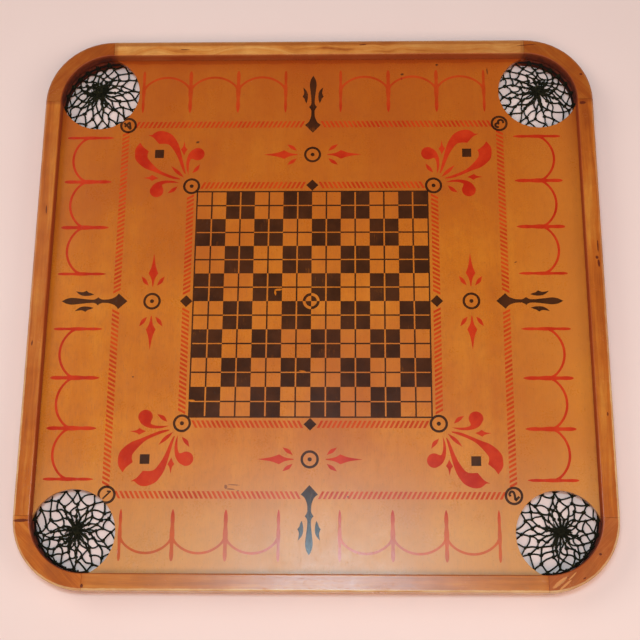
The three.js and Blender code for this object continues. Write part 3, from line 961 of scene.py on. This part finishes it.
def settled_net(corner, middle, bunch, rng):
    """The settled points, the strings through them, the knots and the places on the hoop."""
    mouth = hoop_outline(corner, np.array(CORNERS[corner]) * POCKET_PLACE)
    points, rows = net_rows(mouth, middle, bunch, rng)
    strings, links, lengths = net_strings(points, rows, rng)
    pinned = np.array([*rows[0], *rows[-1]])
    settled = relax(np.array(points), np.array(links), np.array(lengths), pinned, STRING_RADIUS * 1.6)
    knots = [settled[i] for row in rows[1:-1] for i in row]
    return settled, strings, knots, [settled[i] for i in rows[0]]


def rounded(path, steps=2):
    return np.array(smooth([tuple(p) for p in path], steps))


def net(corner, material):
    knot_place, bunch, seed = NET_KNOTS[corner]
    rng = np.random.default_rng(seed)
    middle = np.array([knot_place[0] * MM, knot_place[1] * MM])
    settled, strings, knots, hung = settled_net(corner, middle, bunch, rng)
    made = Strings()
    for path in strings:
        made.tube(rounded(settled[path]), STRING_RADIUS * rng.uniform(0.86, 1.12))
    for place in knots:
        made.knot(place, STRING_RADIUS * rng.uniform(1.7, 2.4), rng)
    for place in hung:
        hang_loop(made, place, middle)
    gathered_middle(made, middle, rng)
    piece = made.piece("net_" + corner, material)
    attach(piece, "root")
    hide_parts("pocket_net_" + corner)


def hang_loop(made, place, middle):
    """Two turns of string round the hoop's wire."""
    out = np.array([*(place[:2] - middle), 0.0])
    out /= np.linalg.norm(out)
    up = np.array([0, 0, 1.0])
    along = np.cross(out, up)
    wire = HOOP_WIRE_RADIUS + STRING_RADIUS
    path = []
    for t in [i / 12 for i in range(24)]:
        a = 2 * math.pi * t
        round_wire = place + wire * (math.cos(a) * out + math.sin(a) * up)
        path.append(round_wire + along * (t - 1.0) * 2.2 * STRING_RADIUS)
    made.tube(path)


def gathered_middle(made, middle, rng):
    """The knot that draws the net shut, with the strings' cut ends spread over it."""
    centre = np.array([*middle, GATHER["height"]])
    made.knot(centre, GATHER["radius"], rng)
    for turn in range(GATHER["turns"]):
        tilt = rng.normal(0.0, 0.35, 2)
        radius = 0.0027 + 0.0004 * turn
        loop = []
        for i in range(19):
            a = 2 * math.pi * i / 18
            flat = np.array([math.cos(a), math.sin(a)]) * radius
            loop.append(centre + np.array([*flat, 0.0014 + 0.0005 * turn + float(flat @ tilt) * 0.5]))
        made.tube(loop)
    for _ in range(GATHER["tails"]):
        angle = rng.uniform(0.0, 2 * math.pi)
        bend = rng.normal(0.0, 0.5)
        reach = rng.uniform(*GATHER["tail_reach"])
        lift = rng.uniform(0.0008, 0.0036)
        tail = []
        for i in range(7):
            t = i / 6
            a = angle + bend * t * t
            away = 0.0012 + reach * t
            drop = lift * (1.0 - t * t)
            tail.append(centre + np.array([math.cos(a) * away, math.sin(a) * away, drop - 0.0008 * t]))
        made.tube(tail, STRING_RADIUS * rng.uniform(0.7, 1.0), taper=True)


# ======== CAD nodes' finishes ========
def shade(node):
    """Rounds the shading of a CAD node's curved faces and keeps its flat ones flat."""
    data = node.data
    data.polygons.foreach_set("use_smooth", [True] * len(data.polygons))
    data.set_sharp_from_angle(angle=math.radians(32))
    weighted = node.modifiers.new("flat_faces", "WEIGHTED_NORMAL")
    weighted.keep_sharp = True


def dress(node, material):
    node.data.materials.clear()
    node.data.materials.append(material)
    for polygon in node.data.polygons:
        polygon.material_index = 0
    shade(node)


def dress_frame():
    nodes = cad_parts
    dress(nodes["game_panel"], panel_material())
    rails = {
        "front": (0.0, (0.5, 1.3, 0.2), RIM_STOPS, 0.006),
        "right": (90.0, (1.7, 0.4, 0.9), RIM_STOPS, 0.008),
        "back": (0.0, (2.9, 2.2, 0.5), LIGHT_RIM_STOPS, 0.05),
        "left": (90.0, (0.2, 3.1, 1.4), RIM_STOPS, 0.006),
    }
    for side, look in rails.items():
        dress(nodes["rail_" + side], rim_material("rail_wood_" + side, *look))
    turns = {"front_right": 45.0, "back_right": -45.0, "back_left": 45.0, "front_left": -45.0}
    for i, (corner, turn) in enumerate(turns.items()):
        stops = DARK_RIM_STOPS if corner == "front_right" else RIM_STOPS
        look = (turn, (0.7 + i, 1.9 * i, 0.3), stops, 0.01)
        dress(nodes["corner_block_" + corner], rim_material("corner_wood_" + corner, *look))
    looks = {
        "spline": bare_wood_material(),
        "brad": metal_material("brad_steel", rgb(92, 84, 76), rgb(84, 48, 28), 0.42),
        "net_hoop": metal_material("hoop_wire", rgb(24, 18, 14), rgb(46, 26, 16), 0.7),
        "hoop_nail": metal_material("nail_steel", rgb(100, 94, 86), rgb(84, 48, 28), 0.4),
        "hoop_staple": metal_material("staple_steel", rgb(112, 106, 98), rgb(88, 52, 30), 0.38),
    }
    for name, node in nodes.items():
        for start, material in looks.items():
            if name.startswith(start):
                dress(node, material)


# ======== Stage ========
def floor_material():
    sh = Shader("floor_paper")
    place = sh.place()
    colour = sh.mix(sh.noise(place, 6.0, 3.0), solid_colour(242, 211, 201), solid_colour(246, 217, 207))
    return sh.finish(colour, 0.85, sh.math("MULTIPLY", sh.noise(place, 900.0), 0.00002))


def stage():
    data = bpy.data.meshes.new("floor")
    reach = 6.0
    corners = [(-reach, -reach, 0), (reach, -reach, 0), (reach, reach, 0), (-reach, reach, 0)]
    data.from_pydata(corners, [], [(0, 1, 2, 3)])
    data.materials.append(floor_material())
    floor = bpy.data.objects.new("floor", data)
    bpy.context.scene.collection.objects.link(floor)


# Each lamp's place, what it points at, its two sizes, its watts and its colour. The cool window is
# mirrored in the varnish at the front, and the warm fills bring the whole back to neutral.
LAMPS = {
    "window": ((-0.01, -0.235, 1.9), (0.0, -0.1, 0.0), (0.4, 0.2), 15.5, (0.5, 0.82, 1.0)),
    "front_fill": ((0.0, -1.3, 2.2), (0.0, 0.0, 0.0), (1.6, 0.8), 20.0, (1.0, 0.74, 0.6)),
    "left_fill": ((-2.0, 0.8, 2.2), (0.0, 0.0, 0.0), (1.6, 1.6), 26.5, (1.0, 0.89, 0.81)),
    "right_fill": ((2.1, -0.6, 2.0), (0.0, 0.0, 0.0), (1.6, 1.6), 21.5, (1.0, 0.89, 0.81)),
}


def soft_light(name, place, target, sizes, watts, colour):
    data = bpy.data.lights.new(name, "AREA")
    data.shape = "RECTANGLE"
    data.size, data.size_y = sizes
    data.energy = watts
    data.color = colour
    lamp = bpy.data.objects.new(name, data)
    lamp.location = place
    lamp.rotation_euler = (Vector(target) - Vector(place)).to_track_quat("-Z", "Y").to_euler()
    bpy.context.scene.collection.objects.link(lamp)


def lights():
    for name, look in LAMPS.items():
        soft_light(name, *look)
    world = bpy.data.worlds.new("soft_room")
    world.use_nodes = True
    sky = world.node_tree.nodes["Background"]
    sky.inputs["Color"].default_value = (1.0, 0.96, 0.95, 1.0)
    sky.inputs["Strength"].default_value = 0.18
    bpy.context.scene.world = world


def camera():
    """The photo's view: nearly from above, from a little in front of the board."""
    data = bpy.data.cameras.new("camera")
    data.sensor_width = 36.0
    data.lens = 69.4
    data.shift_y = -0.0156
    eye = bpy.data.objects.new("camera", data)
    eye.location = (0.0446, -0.4794, 1.5193)
    eye.rotation_euler = Quaternion(Vector((0.3022, 0.0255, 0.0032))).to_euler()
    bpy.context.scene.collection.objects.link(eye)
    bpy.context.scene.camera = eye


camera()
stage()
lights()
bpy.context.scene.view_settings.view_transform = "Standard"
dress_frame()
print_game()
net_string = string_material()
for corner_name in CORNERS:
    net(corner_name, net_string)
